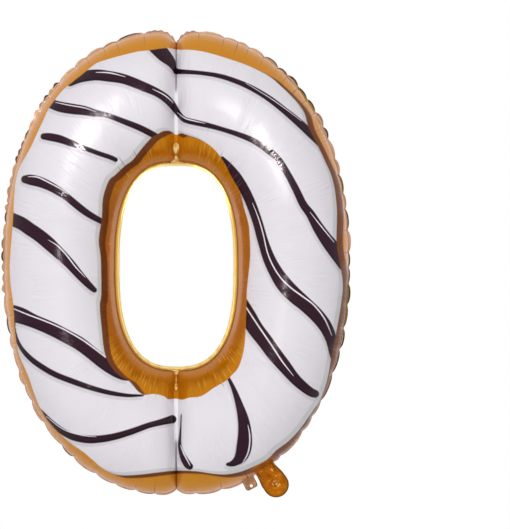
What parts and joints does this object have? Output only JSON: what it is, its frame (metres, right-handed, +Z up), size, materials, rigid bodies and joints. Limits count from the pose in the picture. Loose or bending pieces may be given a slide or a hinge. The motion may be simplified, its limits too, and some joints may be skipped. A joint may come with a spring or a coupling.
{
  "type": "foil number balloon",
  "caption": "Inflated ring-shaped foil balloon of printed front and gold back film, with welded seams, a fold-over inflation tail with a film valve, and a tether tab.",
  "frame": {"origin": "middle of the ring's outline, in the plane of the welds", "axes": "+Z up along the height of the digit, +X to the right as the printed front is seen, +Y to the back, so the printed front faces -Y"},
  "size_m": [0.6596, 0.19, 0.8825],
  "materials": {
    "printed_film": "satin print on metallised film",
    "gold_film": "bright metallised gold",
    "welded_film": "crinkled caramel print on metallised film",
    "tail_film": "bright amber-gold metallised film",
    "valve_film": "clear thin film",
    "release_coat": "printed heat-resist ink"
  },
  "bodies": {
    "balloon": {"front_film": "printed_film", "back_film": "gold_film", "outer_seam": "welded_film", "inner_seam": "gold_film", "valve_front_film": "valve_film", "valve_back_film": "valve_film", "valve_side_welds": "valve_film", "valve_release_coat": "release_coat"},
    "tail": {"tail_front_film": "tail_film", "tail_back_film": "gold_film", "tail_edge_weld": "tail_film"},
    "tab": {"tether_tab": "welded_film"}
  },
  "joints": [
    {"name": "tail_swing", "type": "hinge", "parent": "balloon", "child": "tail", "pos_m": [0.17236, 0, -0.39599], "axis": [0.8192, 0, 0.5736], "range_deg": [-90, 90], "deforming": ["valve_front_film", "valve_back_film", "valve_side_welds", "valve_release_coat"]},
    {"name": "tab_swing", "type": "hinge", "parent": "balloon", "child": "tab", "pos_m": [0.13878, 0, -0.4159], "axis": [0.891, 0, 0.454], "range_deg": [-90, 90]}
  ]
}
